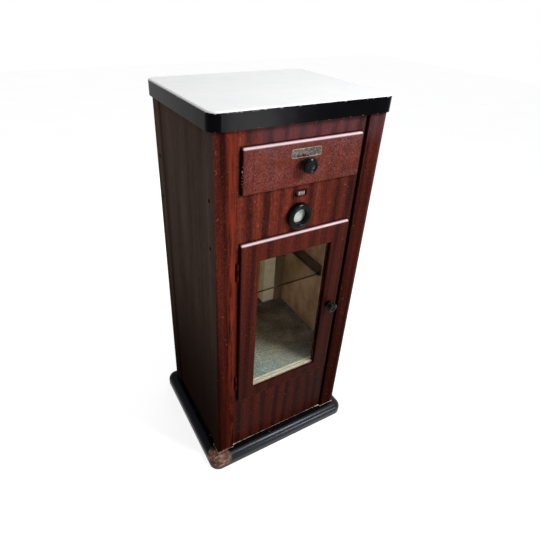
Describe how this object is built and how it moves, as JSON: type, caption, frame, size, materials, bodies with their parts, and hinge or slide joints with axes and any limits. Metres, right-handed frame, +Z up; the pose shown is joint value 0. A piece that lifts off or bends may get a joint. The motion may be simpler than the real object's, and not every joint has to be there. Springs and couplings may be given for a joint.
{
  "type": "treatment-room cabinet with drawer and glazed door",
  "caption": "Floor-standing wooden clinic cabinet: enamelled top, small drawer, signal lamp, slide switch, glazed door with turn catch, glass shelf and bullnose plinth.",
  "frame": {"origin": "centre of the base, on the floor, under the middle of the cabinet's whole box", "axes": "+Z up along the height, the front with drawer and door faces -Y, +X to the right seen from the front"},
  "size_m": [0.385, 0.327, 0.83],
  "materials": {
    "striped_veneer": "glossy varnish over striped mahogany-type veneer",
    "post_veneer": "glossy varnish over mahogany-type wood",
    "side_veneer": "dark varnish, satin",
    "interior_wood": "plain, matt",
    "cream_paint": "old cream paint",
    "speckled_lining": "green-grey speckled linoleum",
    "black_lacquer": "black gloss lacquer, worn",
    "enamel": "white vitreous enamel with a black skirt",
    "glass": "clear",
    "opal": "opal white",
    "bakelite": "polished black",
    "dark_metal": "darkened",
    "nickel": "worn nickel plate",
    "steel": "dull"
  },
  "bodies": {
    "cabinet": {"post_front_left": "post_veneer", "post_front_right": "post_veneer", "post_rear_left": "post_veneer", "post_rear_right": "post_veneer", "side_panel_left": "side_veneer", "side_panel_right": "side_veneer", "rear_panel": "side_veneer", "front_panel": "striped_veneer", "bottom_board": "interior_wood", "cupboard_floor": "interior_wood", "floor_lining": "speckled_lining", "compartment_floor": "interior_wood", "drawer_deck": "interior_wood", "drawer_runner_left": "interior_wood", "drawer_runner_right": "interior_wood", "top_board": "interior_wood", "enamel_top": "enamel", "plinth_front": "black_lacquer", "plinth_rear": "black_lacquer", "plinth_left": "black_lacquer", "plinth_right": "black_lacquer", "shelf_bearer_left": "interior_wood", "shelf_bearer_right": "interior_wood", "glass_shelf": "glass", "rear_battens": "cream_paint", "lamp_bezel": "bakelite", "lamp_lens": "opal", "lamp_nut": "bakelite", "lamp_holder": "bakelite", "lamp_bulb": "glass", "switch_plate": "dark_metal", "switch_body": "bakelite", "carcass_screws": "steel", "hinge_upper_frame_leaf": "dark_metal", "hinge_lower_frame_leaf": "dark_metal", "hinge_pins": "dark_metal", "cable_gland": "bakelite"},
    "drawer": {"drawer_front": "striped_veneer", "drawer_side_left": "interior_wood", "drawer_side_right": "interior_wood", "drawer_back": "interior_wood", "drawer_bottom": "interior_wood", "drawer_knob": "bakelite", "drawer_knob_screw": "steel"},
    "door": {"door_stile_hinge": "striped_veneer", "door_stile_lock": "striped_veneer", "door_rail_top": "striped_veneer", "door_rail_bottom": "striped_veneer", "door_glass": "glass", "glazing_bead_left": "cream_paint", "glazing_bead_right": "cream_paint", "glazing_bead_top": "cream_paint", "glazing_bead_bottom": "cream_paint", "hinge_upper_door_leaf": "dark_metal", "hinge_lower_door_leaf": "dark_metal", "knob_rose": "bakelite"},
    "latch": {"door_knob": "bakelite", "latch_spindle": "steel", "latch_tongue": "steel"},
    "switch": {"switch_lever": "nickel"}
  },
  "joints": [
    {"name": "drawer_slide", "type": "slide", "parent": "cabinet", "child": "drawer", "axis": [0, -1, 0], "range_m": [0, 0.19]},
    {"name": "door_hinge", "type": "hinge", "parent": "cabinet", "child": "door", "pos_m": [-0.1245, -0.1384, 0.394], "axis": [0, 0, -1], "range_deg": [0, 100]},
    {"name": "latch_turn", "type": "hinge", "parent": "door", "child": "latch", "pos_m": [0.1, -0.144, 0.393], "axis": [0, -1, 0], "range_deg": [0, 90]},
    {"name": "switch_slide", "type": "slide", "parent": "cabinet", "child": "switch", "axis": [1, 0, 0], "range_m": [-0.004, 0.004]}
  ]
}
